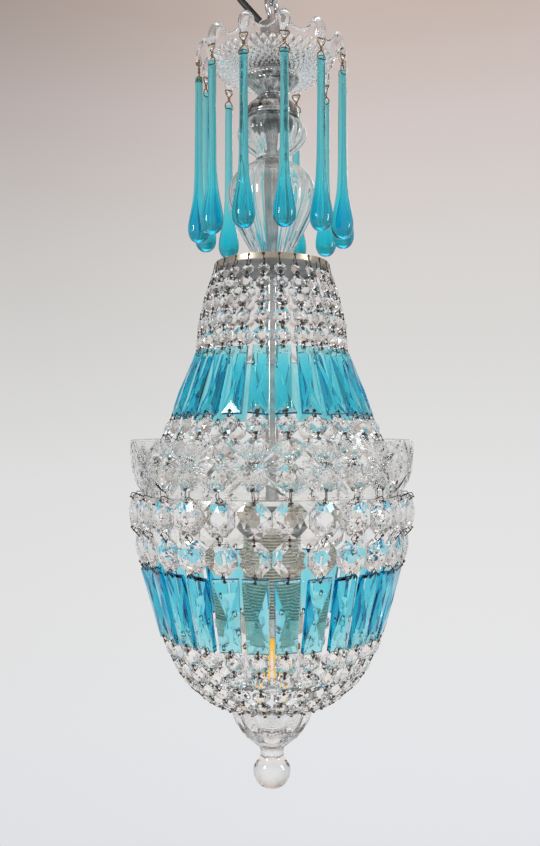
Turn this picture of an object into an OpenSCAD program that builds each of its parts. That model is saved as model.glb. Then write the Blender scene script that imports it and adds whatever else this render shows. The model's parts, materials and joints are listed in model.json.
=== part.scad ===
// Crystal basket pendant light: a glass crown with swinging teardrop icicles,
// a beaded tent, a cut-glass collar and a beaded basket with a ball finial.
// Millimetres. The origin is the centre of the ceiling plane, +Z is up, and
// everything hangs below it.

/* [Ceiling fitting] */
// Radius of the ceiling rose
rose_r = 50; // [44:1:60]
// Depth of the ceiling rose
rose_h = 42; // [40:1:42]
// Distance between the two ceiling screws
screw_pitch = 62; // [56:1:66]
// Radius of each ceiling screw hole
screw_hole_r = 2.5; // [2:0.25:3]

/* [Stem] */
// Outer radius of the threaded stem tube
tube_r = 5; // [4.5:0.1:5.2]
// Wall of the stem tube
tube_wall = 1.2; // [0.8:0.1:1.6]

/* [Icicles] */
// Number of swinging icicle drops
icicle_count = 12; // [12]
// Radius of the circle that the icicles hang on
icicle_ring_r = 54.75; // [54:0.25:56]
// Height of the pin that each icicle swings on
icicle_pivot_z = -142.5; // [-143:0.25:-142]
// Radius of the wire hooks
hook_wire_r = 0.5; // [0.4:0.05:0.6]

/* [Tent] */
// Number of strands in the tent between the crown plate and the hoop
tent_strands = 24; // [20:2:24]
// Octagon sizes down each tent strand
tent_sizes = [8.5, 10.5, 11.5, 12, 12.5];
// Length of the tent prisms
tent_prism_l = 50; // [46:1:50]
// Octagon sizes below the tent prisms
skirt_sizes = [15, 17, 18];

/* [Collar and basket] */
// Outer radius of the cut-glass collar at its rim
collar_r = 105; // [104:0.5:107]
// Number of strands in the basket
basket_strands = 28; // [24:2:28]
// Size of the large octagons below the collar
large_octagon = 22.2; // [20:0.2:22.2]
// Length of the basket prisms
basket_prism_l = 52; // [48:1:52]
// Octagon sizes down the lower basket
cup_sizes = [14, 13, 12.5, 11, 9.5, 6];

/* [Lamp] */
// Radius of the ribbed lampholder
holder_r = 22; // [20:0.5:23]
// Radius of the round bulb
bulb_r = 22.5; // [20:0.5:22.5]

/* [Hidden] */
$fn = 48;

// Heights of the main levels
hook_ring_z = -58;
link_top_z = -61.7;
link_bottom_z = -81.05;
loop_z = -84;
collar_top_z = -94.5;
crown_z = -281;
hoop_z = -452;
ring_z = -602;
// Direction of the first icicle
icicle_first = -81;
// Turn of the hook ring, the link and the loop about the upright
hang_turn = 60;

// Flex: leaves the gland at 42 degrees from upright, bows outwards and rises into the rose
flex_r = 2.5;
flex_lean = 42;
flex_start = [-8, 0, -95.2];
flex_run = 21;
flex_bend_r = 25;
flex_end_z = -28;
function flex_a(p) = flex_start + flex_run * p * [-sin(flex_lean), 0, cos(flex_lean)];
flex_c = flex_a(1) + flex_bend_r * [cos(flex_lean), 0, sin(flex_lean)];
function flex_b(a) = flex_c + flex_bend_r * [-cos(a), 0, -sin(a)];
flex_x = flex_c[0] - flex_bend_r;
flex_path = concat(
  [for (p = [0, 0.33, 0.66]) flex_a(p)],
  [for (a = [flex_lean : -flex_lean / 5 : flex_lean / 10]) flex_b(a)],
  [for (k = [0 : 3]) [flex_x, 0, flex_c[2] + (flex_end_z - flex_c[2]) * k / 3]]);

// A chain of pieces hung one below another in the plane of radius and height:
// each entry is [radius, height, direction, length]
function chain(p, sizes, angles, gap, i = 0) = i >= len(sizes) ? [] :
  let (d = [cos(angles[i]), sin(angles[i])],
       c = p + d * (gap[i] + sizes[i] / 2),
       e = c + d * sizes[i] / 2)
  concat([[c[0], c[1], angles[i], sizes[i]]], chain(e, sizes, angles, gap, i + 1));
function ends(c, side) = [c[0], c[1]] + side * c[3] / 2 * [cos(c[2]), sin(c[2])];

tent = chain([41.6, -281.5], concat(tent_sizes, [tent_prism_l], skirt_sizes),
  [-72, -72, -77, -82, -85, -69.5, -66, -67, -75],
  [3.5, 1.2, 1.2, 1.2, 1.2, 1.5, 1.5, 1.5, 1.5]);
// The large octagons are a little longer than wide
large_l = large_octagon + 1.4;
basket = concat(
  chain([102.6, -447.6], [large_l], [-92], [1]),
  chain([99.4, -474], [large_l - 1], [-99], [0.8]),
  chain([93.7, -497.9], concat([basket_prism_l], cup_sizes),
    [-104.5, -111, -117, -129, -138, -150, -178],
    [1.4, 1.5, 1.5, 1.4, 1.4, 1.3, 1]));

function thick(s) = max(4, 0.38 * s);

// Shapes shared by several pieces
module ring_tube(ro, ri, z0, z1) {
  translate([0, 0, z0]) difference() {
    cylinder(h = z1 - z0, r = ro);
    translate([0, 0, -1]) cylinder(h = z1 - z0 + 2, r = ri);
  }
}
module hex_nut(r, hole, z0, z1) {
  translate([0, 0, z0]) difference() {
    cylinder(h = z1 - z0, r = r, $fn = 6);
    translate([0, 0, -1]) cylinder(h = z1 - z0 + 2, r = hole);
  }
}
module rod_between(a, b, r) {
  v = b - a;
  l = norm(v);
  translate(a) rotate([0, acos(v[2] / l), atan2(v[1], v[0])]) cylinder(h = l, r = r);
}
module on_strand(c, az) {
  rotate([0, 0, az]) translate([c[0], 0, c[1]]) rotate([0, -c[2], 0]) children();
}
module octagon(s) {
  rotate([0, 0, 22.5]) cylinder(h = thick(s), d = s / cos(22.5), center = true, $fn = 8);
}
module large_row(c, w) {
  for (j = [0 : basket_strands - 1]) on_strand(c, basket_first + j * 360 / basket_strands)
    scale([c[3] / w, 1, 1]) rotate([0, 0, 22.5]) cylinder(h = 6, d = w / cos(22.5), center = true, $fn = 8);
}
module octagon_rows(rows, count, first) {
  for (c = rows, j = [0 : count - 1])
    on_strand(c, first + j * 360 / count) octagon(c[3]);
}
// A flat cut bar: w0 wide at its upper end, w1 at its lower end
module bar(l, w0, w1, t) {
  translate([0, 0, -t / 2]) linear_extrude(height = t)
    polygon([[-l / 2, -w0 / 2], [l / 2, -w1 / 2], [l / 2, w1 / 2], [-l / 2, w0 / 2]]);
}
module bar_row(c, w0, w1, t, count, first) {
  for (j = [0 : count - 1]) on_strand(c, first + j * 360 / count) bar(c[3], w0, w1, t);
}
// A wire pin from one point of a strand to the next, run 1.4 into each piece
module pins(points, count, first) {
  for (p = points, j = [0 : count - 1]) {
    a = p[0];
    b = p[1];
    d = b - a;
    l = norm(d);
    m = (a + b) / 2;
    on_strand([m[0], m[1], atan2(d[1], d[0]), 0], first + j * 360 / count)
      cube([l + 2.8, 1.2, 0.9], center = true);
  }
}
tent_first = -90 + 180 / tent_strands;
basket_first = -90 + 180 / basket_strands;

// Ceiling fitting
module ceiling_rose() {
  color("silver") difference() {
    rotate_extrude() polygon([
      [rose_r, 0], [rose_r, -rose_h + 12], [rose_r - 1.2, -rose_h + 6], [rose_r - 4.5, -rose_h + 1.8],
      [rose_r - 9, -rose_h], [5.5, -rose_h], [5.5, -rose_h + 1.2], [rose_r - 9.2, -rose_h + 1.2],
      [rose_r - 5.2, -rose_h + 2.9], [rose_r - 2.3, -rose_h + 6.6], [rose_r - 1.2, -rose_h + 12.3], [rose_r - 1.2, 0]]);
    translate([flex_x, 0, -rose_h - 1]) cylinder(h = 4, r = 9.5);
  }
}
module rose_strap() {
  color("gainsboro") difference() {
    translate([-42, -8, -2.5]) cube([84, 16, 2.5]);
    for (x = [-1, 1]) translate([x * screw_pitch / 2, 0, -3.5]) cylinder(h = 5, r = screw_hole_r);
    translate([0, 0, -3.5]) cylinder(h = 5, r = 4.1);
  }
}
module ceiling_hook() {
  color("silver") {
    translate([0, 0, -51]) cylinder(h = 51, r = 4);
    translate([0, 0, hook_ring_z]) rotate([90, 0, hang_turn]) rotate_extrude() translate([8, 0]) circle(r = 2.25);
  }
}
module hook_nuts() {
  color("silver") {
    hex_nut(8, 4.15, -8, -2.6);
    hex_nut(8, 4.15, -40.7, -36.5);
    hex_nut(8, 4.15, -46.5, -42.1);
  }
}
module chain_link() {
  straight = link_top_z - link_bottom_z - 9.5;
  mid = (link_top_z + link_bottom_z) / 2;
  color("silver") translate([0, 0, mid]) rotate([0, 0, 90 + hang_turn]) rotate([90, 0, 0]) {
    for (s = [-1, 1]) {
      translate([s * 4.75, straight / 2, 0]) rotate([90, 0, 0]) cylinder(h = straight, r = 1.75);
      rotate([0, 0, s > 0 ? 0 : 180]) translate([0, straight / 2, 0])
        rotate_extrude(angle = 180) translate([4.75, 0]) circle(r = 1.75);
    }
  }
}

// Stem stack
module hanging_loop() {
  color("silver") difference() {
    union() {
      translate([0, 0, loop_z]) rotate([90, 0, hang_turn]) rotate_extrude() translate([7, 0]) circle(r = 2);
      translate([0, 0, -95]) cylinder(h = 5, r = 3.6);
      translate([0, 0, -97]) cylinder(h = 2.5, r1 = 10, r2 = 6, $fn = 48);
      translate([0, 0, -108]) cylinder(h = 11, r = 10);
    }
    translate([0, 0, -109]) cylinder(h = 9, r = tube_r + 0.15);
    rod_between(flex_start + 9 * [sin(flex_lean), 0, -cos(flex_lean)],
      flex_start + 4 * [-sin(flex_lean), 0, cos(flex_lean)], 4.1);
  }
}
module flex_gland() {
  color("white") rod_between(flex_start + 7 * [sin(flex_lean), 0, -cos(flex_lean)], flex_start, 4);
}
// Sweep of an eight-sided tube along the path, in one closed polyhedron
module flex() {
  n = len(flex_path);
  pts = [for (i = [0 : n - 1])
    let (d = i == 0 ? flex_path[1] - flex_path[0] : i == n - 1 ? flex_path[n - 1] - flex_path[n - 2] : flex_path[i + 1] - flex_path[i - 1],
         u = d / norm(d), v = [u[2], 0, -u[0]])
    for (k = [0 : 7]) flex_path[i] + flex_r * (cos(k * 45) * v + sin(k * 45) * [0, 1, 0])];
  faces = concat([[for (k = [0 : 7]) k]], [[for (k = [7 : -1 : 0]) (n - 1) * 8 + k]],
    [for (i = [0 : n - 2], k = [0 : 7]) [i * 8 + k, (i + 1) * 8 + k, (i + 1) * 8 + (k + 1) % 8, i * 8 + (k + 1) % 8]]);
  color("black") polyhedron(points = pts, faces = faces, convexity = 4);
}
module terminal_block() {
  color("white") translate([flex_x - 6, -5, flex_end_z]) cube([12, 10, 14]);
}
// Inner run of the lamp's two-core flex, down the middle of the stem
module lamp_flex() {
  color("black") translate([0, 0, -477.8]) cylinder(h = 373, r = 2.4);
}
module stem_tube() {
  color("silver") ring_tube(tube_r, tube_r - tube_wall, -470, -104.5);
}
module stem_nuts() {
  color("silver") {
    hex_nut(9, tube_r + 0.15, -132.5, -127.5);
    hex_nut(9, tube_r + 0.15, -286, -280.5);
    hex_nut(9, tube_r + 0.15, -452, -447);
    hex_nut(9, tube_r + 0.15, -459, -454.6);
  }
}

// Pressed-glass crown with a lug under each lobe
module bobeche() {
  color("lightcyan") difference() {
    union() {
      rotate_extrude() polygon([
        [5.4, -137], [20, -137], [30, -135.2], [38, -132.6], [42.5, -129.5], [45.4, -125.5], [47, -121.5], [48, -118.5],
        [45.8, -118], [44.6, -121], [42.6, -125], [40.3, -128], [36.6, -130.2], [29.5, -132.2], [20, -133.3], [5.4, -133.3]]);
      for (i = [0 : icicle_count - 1]) rotate([0, 0, icicle_first + i * 30]) {
        translate([0, 5.5, 0]) rotate([90, 0, 0]) linear_extrude(height = 11)
          polygon([[44.4, -121.6], [45.2, -117.5], [46.6, -113.6], [49.4, -111.6], [52.8, -112.6], [55.5, -116.2],
            [56.6, -120], [52.4, -120], [51.4, -117.8], [49.8, -116.4], [48.6, -117.4], [47.6, -120.4]]);
        translate([0, 2.5, 0]) rotate([90, 0, 0]) linear_extrude(height = 5)
          polygon([[52.4, -119.5], [57, -119.5], [57.2, -127], [56.6, -130], [54.75, -131], [52.9, -130], [52.3, -127]]);
      }
    }
    for (i = [0 : icicle_count - 1]) rotate([0, 0, icicle_first + i * 30])
      translate([icicle_ring_r, 5, -128]) rotate([90, 0, 0]) cylinder(h = 10, r = 0.75);
  }
}
module icicle_hooks() {
  color("goldenrod") for (i = [0 : icicle_count - 1]) rotate([0, 0, icicle_first + i * 30]) translate([icicle_ring_r, 0, 0]) {
    for (z = [-128, icicle_pivot_z]) translate([0, 3.9, z]) rotate([90, 0, 0]) cylinder(h = 7.8, r = hook_wire_r);
    for (y = [-3.9, 3.9]) translate([0, y, icicle_pivot_z - hook_wire_r]) cylinder(h = -128 - icicle_pivot_z + 2 * hook_wire_r, r = hook_wire_r);
  }
}
// Teardrop: [distance from the top, radius]
drop_profile = [[0, 1.6], [0.8, 2.6], [2, 2.95], [6, 3], [30, 3.05], [50, 3.2], [70, 3.45], [80, 3.85],
  [87.5, 4.35], [93, 5.15], [98, 6.05], [103, 7.1], [107.5, 7.95], [111.5, 8.4], [115, 8.3],
  [118, 7.5], [120.5, 6], [122, 4.2], [122.8, 2.2], [123, 0.4]];
module icicle(i) {
  top = icicle_pivot_z + 3;
  color("deepskyblue") rotate([0, 0, icicle_first + (i - 1) * 30]) translate([icicle_ring_r, 0, 0]) difference() {
    rotate_extrude() polygon(concat([[0, top]], [for (p = drop_profile) [p[1], top - p[0]]], [[0, top - 123]]));
    translate([0, 5, icicle_pivot_z]) rotate([90, 0, 0]) cylinder(h = 10, r = hook_wire_r + 0.1);
  }
}

module support_cup() {
  color("silver") rotate_extrude() polygon([
    [5.3, -153], [10.2, -153], [10.2, -151.6], [9.2, -150.4], [12.2, -147.2], [16.2, -142.8], [19.4, -139.6], [20.2, -138.4],
    [20.2, -137.2], [5.3, -137.2]]);
}
module ball_cap() {
  color("silver") rotate_extrude() polygon([
    [5.3, -153.2], [9, -153.2], [13.5, -154.5], [17, -157], [19.3, -160.4], [20.3, -164.5], [20.3, -168.4], [19.4, -168.4],
    [19.3, -164.8], [18.3, -161.2], [16.2, -158.4], [13, -156.3], [9, -155], [5.3, -155]]);
}
// Blown ball, and the blown vase that it stands on
ball = [[11, -157.4], [14.4, -159.2], [16.8, -162.2], [18, -165.4], [18.8, -168.6], [22, -171], [24.6, -174], [26, -178.2],
  [24.8, -184], [20.5, -189], [15, -193], [12.2, -196.4]];
vase = [[12.3, -196.7], [13.4, -199.5], [17.5, -202.6], [23, -206], [28.6, -211], [32.6, -218], [33.8, -225],
  [33, -232.5], [30, -240.5], [26, -248.5], [21.8, -256.5], [17.6, -264], [15, -270], [14.4, -277.8]];
module blown(outline, wall) {
  n = len(outline);
  z0 = outline[0][1];
  z1 = outline[n - 1][1];
  color("lightcyan") rotate_extrude() polygon(concat(outline, [[6.2, z1], [6.2, z1 + 2.8]],
    [for (i = [n - 2 : -1 : 1]) [max(6.2, outline[i][0] - wall), min(max(outline[i][1], z1 + 2.8), z0 - 3.2)]],
    [[6.2, z0 - 3.2], [6.2, z0]]));
}
module glass_ball() { blown(ball, 3); }
module glass_vase() { blown(vase, 3.2); }
module crown_plate() {
  color("darkgray") ring_tube(40, tube_r + 0.3, -280.2, -278);
}
module crown_rim() {
  color("goldenrod") ring_tube(42.8, 40.1, crown_z, -277);
}

// Tent
module tent_octagons_upper() { color("lightcyan") octagon_rows([tent[0], tent[1]], tent_strands, tent_first); }
module tent_octagons_lower() { color("lightcyan") octagon_rows([tent[2], tent[3], tent[4]], tent_strands, tent_first); }
module tent_prisms() { color("deepskyblue") bar_row(tent[5], 11, 14.5, 7, tent_strands, tent_first); }
module skirt_octagons_15() { color("lightcyan") octagon_rows([tent[6]], tent_strands, tent_first); }
module skirt_octagons_17() { color("lightcyan") octagon_rows([tent[7]], tent_strands, tent_first); }
module skirt_octagons_18() { color("lightcyan") octagon_rows([tent[8]], tent_strands, tent_first); }
module tent_pins() {
  color("saddlebrown") pins(concat([[[41.4, -279.5], ends(tent[0], -1)]],
    [for (i = [0 : 7]) [ends(tent[i], 1), ends(tent[i + 1], -1)]],
    [[ends(tent[8], 1), [91, -450.6]]]), tent_strands, tent_first);
}

// Collar, hoop and spider
module cut_glass_collar() {
  r = collar_r;
  color("lightcyan") rotate_extrude() polygon([
    [r, -408], [r - 0.4, -419], [r - 1.5, -430.5], [r - 4.6, -440], [r - 8.4, -446.6], [r - 9, -448.9],
    [r - 12.4, -448.9], [r - 11.8, -445.6], [r - 8.4, -439.4], [r - 5.3, -430], [r - 4, -419], [r - 3.6, -408]]);
}
module main_hoop() { color("goldenrod") ring_tube(97.4, 89.6, hoop_z, -449); }
module spider() {
  color("darkgray") difference() {
    union() {
      translate([0, 0, -454.6]) cylinder(h = 2.6, r = 14);
      for (a = [0, 90]) rotate([0, 0, a]) translate([-94.5, -4, -454.6]) cube([189, 8, 2.6]);
    }
    translate([0, 0, -457]) cylinder(h = 8, r = tube_r + 0.2);
  }
}

// Basket
module basket_octagons_upper() { color("lightcyan") large_row(basket[0], large_octagon); }
module basket_octagons_lower() { color("lightcyan") large_row(basket[1], large_octagon - 1.1); }
module basket_prisms() { color("deepskyblue") bar_row(basket[2], 17.6, 14.5, 7, basket_strands, basket_first); }
module cup_octagons_upper() { color("lightcyan") octagon_rows([basket[3], basket[4]], basket_strands, basket_first); }
module cup_octagons_middle() { color("lightcyan") octagon_rows([basket[5], basket[6]], basket_strands, basket_first); }
module cup_octagons_lower() { color("lightcyan") octagon_rows([basket[7], basket[8]], basket_strands, basket_first); }
module basket_pins() {
  color("saddlebrown") pins(concat([[[96.6, -451.2], ends(basket[0], -1)]],
    [for (i = [0 : 7]) [ends(basket[i], 1), ends(basket[i + 1], -1)]],
    [[ends(basket[8], 1), [32.4, ring_z + 0.2]]]), basket_strands, basket_first);
}
module bottom_ring() {
  color("goldenrod") ring_tube(33.2, 30.6, ring_z - 0.8, ring_z + 0.8);
}

// Finial: the flange of the dish rests on the ring, and the ball is fused to the foot of the dish
module finial_dish() {
  color("lightcyan") rotate_extrude() polygon([
    [32, -599.7], [32, -601.1], [30.4, -601.1], [30.4, -608], [29.3, -614.5], [26, -621.5], [20.6, -628], [14, -633.5],
    [10, -637], [9, -641], [9, -643.9], [0.5, -643.9], [0.5, -628.5], [9, -627.6], [17, -623.5], [23, -618.4], [26.2, -612],
    [27.4, -606], [27.8, -599.7]]);
}
module finial_ball() {
  color("lightcyan") rotate_extrude() polygon(concat([[0, -644.1], [8.4, -644.1]],
    [for (a = [50 : -10 : -80]) [13.9 * cos(a), -656.4 + 11.8 * sin(a)]], [[0, -668.2]]));
}

// Lamp
module lampholder_cap() {
  color("dimgray") rotate_extrude() polygon([
    [tube_r + 0.15, -459], [12, -459], [17, -462], [19.5, -467], [20, -477.8], [tube_r + 0.15, -477.8]]);
}
module lampholder_shell() {
  n = 17;
  color("gray") rotate_extrude() polygon(concat([[0.5, -478]],
    [for (i = [0 : n - 1], k = [0 : 2]) [k == 1 ? holder_r : holder_r - 1.2, -478 - i * 3.4 - k * 1.1]],
    [[holder_r - 1.4, -552], [14.6, -552], [14.6, -500], [0.5, -500]]));
}
module shade_ring() {
  color("darkgray") ring_tube(holder_r + 1.6, holder_r + 0.1, -551, -538);
}
module bulb_cap() {
  color("silver") difference() {
    union() {
      translate([0, 0, -554]) cylinder(h = 27, r = 13.2);
      translate([0, 0, -527]) cylinder(h = 4, r1 = 12, r2 = 5);
    }
    translate([0, 0, -555]) cylinder(h = 24, r = 12.4);
  }
}
bulb_z = -598.5 + bulb_r;
module bulb_glass() {
  color("white") rotate_extrude() polygon(concat(
    [[0, bulb_z - bulb_r]], [for (a = [-80 : 10 : 50]) [bulb_r * cos(a), bulb_z + bulb_r * sin(a)]],
    [[12.3, -554.2], [12.3, -533], [11.5, -533], [11.5, -554.6]],
    [for (a = [50 : -10 : -80]) [(bulb_r - 0.9) * cos(a), bulb_z + (bulb_r - 0.9) * sin(a)]], [[0, bulb_z - bulb_r + 0.9]]));
}
module bulb_filaments() {
  color("gold") {
    for (a = [20 : 90 : 290]) rotate([0, 0, a]) rod_between([3.2, 0, -560], [7.4, 0, -590.5], 0.85);
    translate([0, 0, -566]) cylinder(h = 34, r = 2.6);
  }
}

ceiling_rose();
rose_strap();
ceiling_hook();
hook_nuts();
chain_link();
hanging_loop();
flex_gland();
flex();
terminal_block();
lamp_flex();
stem_tube();
stem_nuts();
bobeche();
icicle_hooks();
support_cup();
ball_cap();
glass_ball();
glass_vase();
crown_plate();
crown_rim();
tent_octagons_upper();
tent_octagons_lower();
tent_prisms();
skirt_octagons_15();
skirt_octagons_17();
skirt_octagons_18();
tent_pins();
cut_glass_collar();
main_hoop();
spider();
basket_octagons_upper();
basket_octagons_lower();
basket_prisms();
cup_octagons_upper();
cup_octagons_middle();
cup_octagons_lower();
basket_pins();
bottom_ring();
finial_dish();
finial_ball();
lampholder_cap();
lampholder_shell();
shade_ring();
bulb_cap();
bulb_glass();
bulb_filaments();
icicle(1);  // icicle_01
icicle(2);  // icicle_02
icicle(3);  // icicle_03
icicle(4);  // icicle_04
icicle(5);  // icicle_05
icicle(6);  // icicle_06
icicle(7);  // icicle_07
icicle(8);  // icicle_08
icicle(9);  // icicle_09
icicle(10);  // icicle_10
icicle(11);  // icicle_11
icicle(12);  // icicle_12
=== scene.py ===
import bpy, json, math, random
import numpy as np
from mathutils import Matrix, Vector


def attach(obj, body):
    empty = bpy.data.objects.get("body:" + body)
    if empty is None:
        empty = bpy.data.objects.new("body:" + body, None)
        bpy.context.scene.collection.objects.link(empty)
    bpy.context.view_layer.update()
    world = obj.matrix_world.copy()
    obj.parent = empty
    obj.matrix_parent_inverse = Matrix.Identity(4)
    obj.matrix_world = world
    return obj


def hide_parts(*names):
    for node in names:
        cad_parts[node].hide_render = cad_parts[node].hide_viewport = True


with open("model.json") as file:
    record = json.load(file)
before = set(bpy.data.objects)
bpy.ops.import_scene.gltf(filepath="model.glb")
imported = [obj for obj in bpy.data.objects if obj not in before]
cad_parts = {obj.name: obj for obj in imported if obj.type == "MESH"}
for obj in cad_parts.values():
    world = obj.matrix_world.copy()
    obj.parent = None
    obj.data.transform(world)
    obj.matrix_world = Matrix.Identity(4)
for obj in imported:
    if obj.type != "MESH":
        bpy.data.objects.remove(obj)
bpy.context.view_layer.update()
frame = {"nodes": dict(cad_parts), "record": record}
nodes = frame["nodes"]
MM = 0.001
rng = random.Random(7)
scene = bpy.context.scene

# ---------------------------------------------------------------- camera
cam = bpy.data.cameras.new("camera")
cam.lens, cam.sensor_width = 36.0 * 850 / 846, 36.0
cam.shift_x, cam.shift_y = -2 / 846, 32 / 846
cam.clip_start, cam.clip_end = 0.02, 50
cam_ob = bpy.data.objects.new("camera", cam)
cam_ob.location = (0, -0.6375, -0.41925)
cam_ob.rotation_euler = (math.pi / 2, 0, 0)
scene.collection.objects.link(cam_ob)
scene.camera = cam_ob


# ---------------------------------------------------------------- node helpers
class Mat:
    def __init__(self, name):
        self.m = bpy.data.materials.new(name)
        self.m.use_nodes = True
        self.t = self.m.node_tree
        self.bsdf = self.t.nodes["Principled BSDF"]
        self.out = self.t.nodes["Material Output"]

    def set(self, **kw):
        for k, v in kw.items():
            self.bsdf.inputs[k.replace("_", " ")].default_value = v
        return self

    def node(self, kind, **kw):
        n = self.t.nodes.new(kind)
        for k, v in kw.items():
            if k in n.inputs:
                n.inputs[k].default_value = v
            else:
                setattr(n, k, v)
        return n

    def link(self, a, b):
        self.t.links.new(a, b)

    def coords(self):
        if not hasattr(self, "_c"):
            self._c = self.node("ShaderNodeTexCoord")
        return self._c.outputs["Object"]

    def noise(self, scale, detail=3, rough=0.5, distort=0.0):
        n = self.node("ShaderNodeTexNoise")
        n.inputs["Scale"].default_value = scale
        n.inputs["Detail"].default_value = detail
        n.inputs["Roughness"].default_value = rough
        n.inputs["Distortion"].default_value = distort
        self.link(self.coords(), n.inputs["Vector"])
        return n

    def ramp(self, fac, stops):
        r = self.node("ShaderNodeValToRGB")
        e = r.color_ramp.elements
        while len(e) < len(stops):
            e.new(0.5)
        for x, (p, c) in zip(e, stops):
            x.position = p
            x.color = (c[0], c[1], c[2], 1) if not isinstance(c, (int, float)) else (c, c, c, 1)
        self.link(fac, r.inputs["Fac"])
        return r.outputs["Color"]

    def bump(self, height, strength, distance):
        b = self.node("ShaderNodeBump")
        b.inputs["Strength"].default_value = strength
        b.inputs["Distance"].default_value = distance
        self.link(height, b.inputs["Height"])
        self.link(b.outputs["Normal"], self.bsdf.inputs["Normal"])

    def absorb(self, color, density):
        v = self.node("ShaderNodeVolumeAbsorption")
        v.inputs["Color"].default_value = (*color, 1)
        v.inputs["Density"].default_value = density
        self.link(v.outputs["Volume"], self.out.inputs["Volume"])


def glass(name, tint_and_glint_stops, tint_and_glint_scale, ior=1.52, rough=0.0, wave=(60, 0.05, 0.0004), volume=None, milk=0.0):
    m = Mat(name)
    m.set(Transmission_Weight=1.0, IOR=ior, Roughness=rough)
    m.link(m.ramp(m.noise(tint_and_glint_scale, 2).outputs["Fac"], tint_and_glint_stops), m.bsdf.inputs["Base Color"])
    if wave:
        m.bump(m.noise(wave[0], 2).outputs["Fac"], wave[1], wave[2])
    if volume:
        m.absorb(*volume)
    if milk:
        m.set(Transmission_Weight=1.0 - milk)
    return m.m


def metal(name, light, dark, scale, rough, bump=0.0, metallic=1.0, patches=None):
    m = Mat(name)
    m.set(Metallic=metallic)
    n = m.noise(scale, 5, 0.6)
    m.link(m.ramp(n.outputs["Fac"], [(0.3, dark), (0.62, light)]), m.bsdf.inputs["Base Color"])
    f = m.noise(scale * 3, 4, 0.6)
    m.link(m.ramp(f.outputs["Fac"], [(0.3, rough[0]), (0.7, rough[1])]), m.bsdf.inputs["Roughness"])
    if bump:
        m.bump(f.outputs["Fac"], 0.4, bump)
    return m.m


W = (1.0, 1.0, 1.0)
MATS = {
    "crown_glass": glass("crown_glass", [(0.25, (0.93, 0.95, 0.96)), (0.6, (0.99, 0.99, 0.99))], 30, 1.5, 0.0, (140, 0.12, 0.0006)),
    "finial_glass": glass("finial_glass", [(0.3, (0.88, 0.90, 0.89)), (0.6, (0.985, 0.985, 0.98))], 45, 1.6, 0.0, (60, 0.35, 0.0012)),
    "baluster_glass": glass("baluster_glass", [(0.3, (0.95, 0.965, 0.965)), (0.6, (0.995, 0.995, 0.995))], 24, 1.48, 0.0, (70, 0.05, 0.0006)),
    "collar_glass": glass("collar_glass", [(0.3, (0.97, 0.975, 0.98)), (0.65, (1, 0.998, 0.978))], 40, 1.43, 0.0, (160, 0.12, 0.0006), None, 0.0),
    # crystal_clear: the pale blue stop is a painted dispersion glint and the pink-brown stop is painted brownish shade,
    # speckled through the glass colour by noise; the white stops are the glass's own clear colour
    "crystal_clear": glass("crystal_clear", [(0.30, (0.84, 0.93, 1.0)), (0.38, (1, 1, 1)), (0.56, (1, 0.988, 0.972)), (0.70, (0.96, 0.89, 0.85))], 110, 1.54, 0.0, (220, 0.05, 0.0003)),
    "crystal_blue_basket": glass("crystal_blue_basket", [(0.3, (0.95, 0.985, 0.99)), (0.7, (1, 1, 1))], 60, 1.54, 0.0, (120, 0.03, 0.0003), ((0.0, 0.865, 0.952), 205)),
    "crystal_blue_tent": glass("crystal_blue_tent", [(0.3, (0.94, 0.985, 1.0)), (0.7, (1, 1, 1))], 60, 1.54, 0.0, (120, 0.03, 0.0003), ((0.0, 0.88, 0.95), 270)),
    "icicle_glass": glass("icicle_glass", [(0.3, (0.90, 0.97, 0.99)), (0.7, (1, 1, 1))], 45, 1.5, 0.0, (90, 0.05, 0.0005), ((0.0, 0.885, 0.945), 245)),
    "bulb_glass": glass("bulb_glass", [(0.3, (0.97, 0.97, 0.96)), (0.7, (1, 1, 1))], 20, 1.35, 0.0, (30, 0.02, 0.0004)),
    "chrome": metal("chrome", (0.62, 0.62, 0.63), (0.46, 0.455, 0.45), 90, (0.06, 0.14), 0.00004),
    # chrome_with_painted_reflections: the near-black noise patches in this colour are painted dark reflections; the
    # pale patches are the chrome's own colour
    "chrome_with_painted_reflections": metal("chrome_with_painted_reflections", (0.62, 0.61, 0.60), (0.035, 0.032, 0.03), 200, (0.04, 0.09), 0.0002),
    "hoop_silver": metal("hoop_silver", (0.93, 0.93, 0.92), (0.85, 0.85, 0.84), 200, (0.22, 0.34), 0.00005),
    "rim_brass": metal("rim_brass", (0.52, 0.47, 0.38), (0.30, 0.26, 0.20), 60, (0.25, 0.4), 0.00005),
    "zinc_steel": metal("zinc_steel", (0.62, 0.62, 0.625), (0.40, 0.395, 0.39), 160, (0.14, 0.24), 0.00008),
    "grey_metal": metal("grey_metal", (0.40, 0.40, 0.395), (0.25, 0.24, 0.235), 120, (0.4, 0.6), 0.0001),
    "lampholder_grey": metal("lampholder_grey", (0.80, 0.74, 0.65), (0.54, 0.49, 0.42), 140, (0.2, 0.3), 0.00003, 0.55),
    "aged_brass": metal("aged_brass", (0.085, 0.060, 0.042), (0.020, 0.014, 0.011), 300, (0.3, 0.5), 0.00005, 0.8),
    "hoop_brass": metal("hoop_brass", (0.60, 0.58, 0.55), (0.42, 0.40, 0.37), 200, (0.3, 0.5), 0.00005),
    "bright_brass": metal("bright_brass", (0.42, 0.27, 0.12), (0.08, 0.052, 0.03), 260, (0.25, 0.45), 0.00005),
    "flex_black": metal("flex_black", (0.022, 0.022, 0.024), (0.010, 0.010, 0.011), 200, (0.35, 0.5), 0.0001, 0.0),
    "white_plastic": metal("white_plastic", (0.80, 0.80, 0.76), (0.68, 0.68, 0.64), 80, (0.25, 0.35), 0.00005, 0.0),
}
f = Mat("filament")
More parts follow.
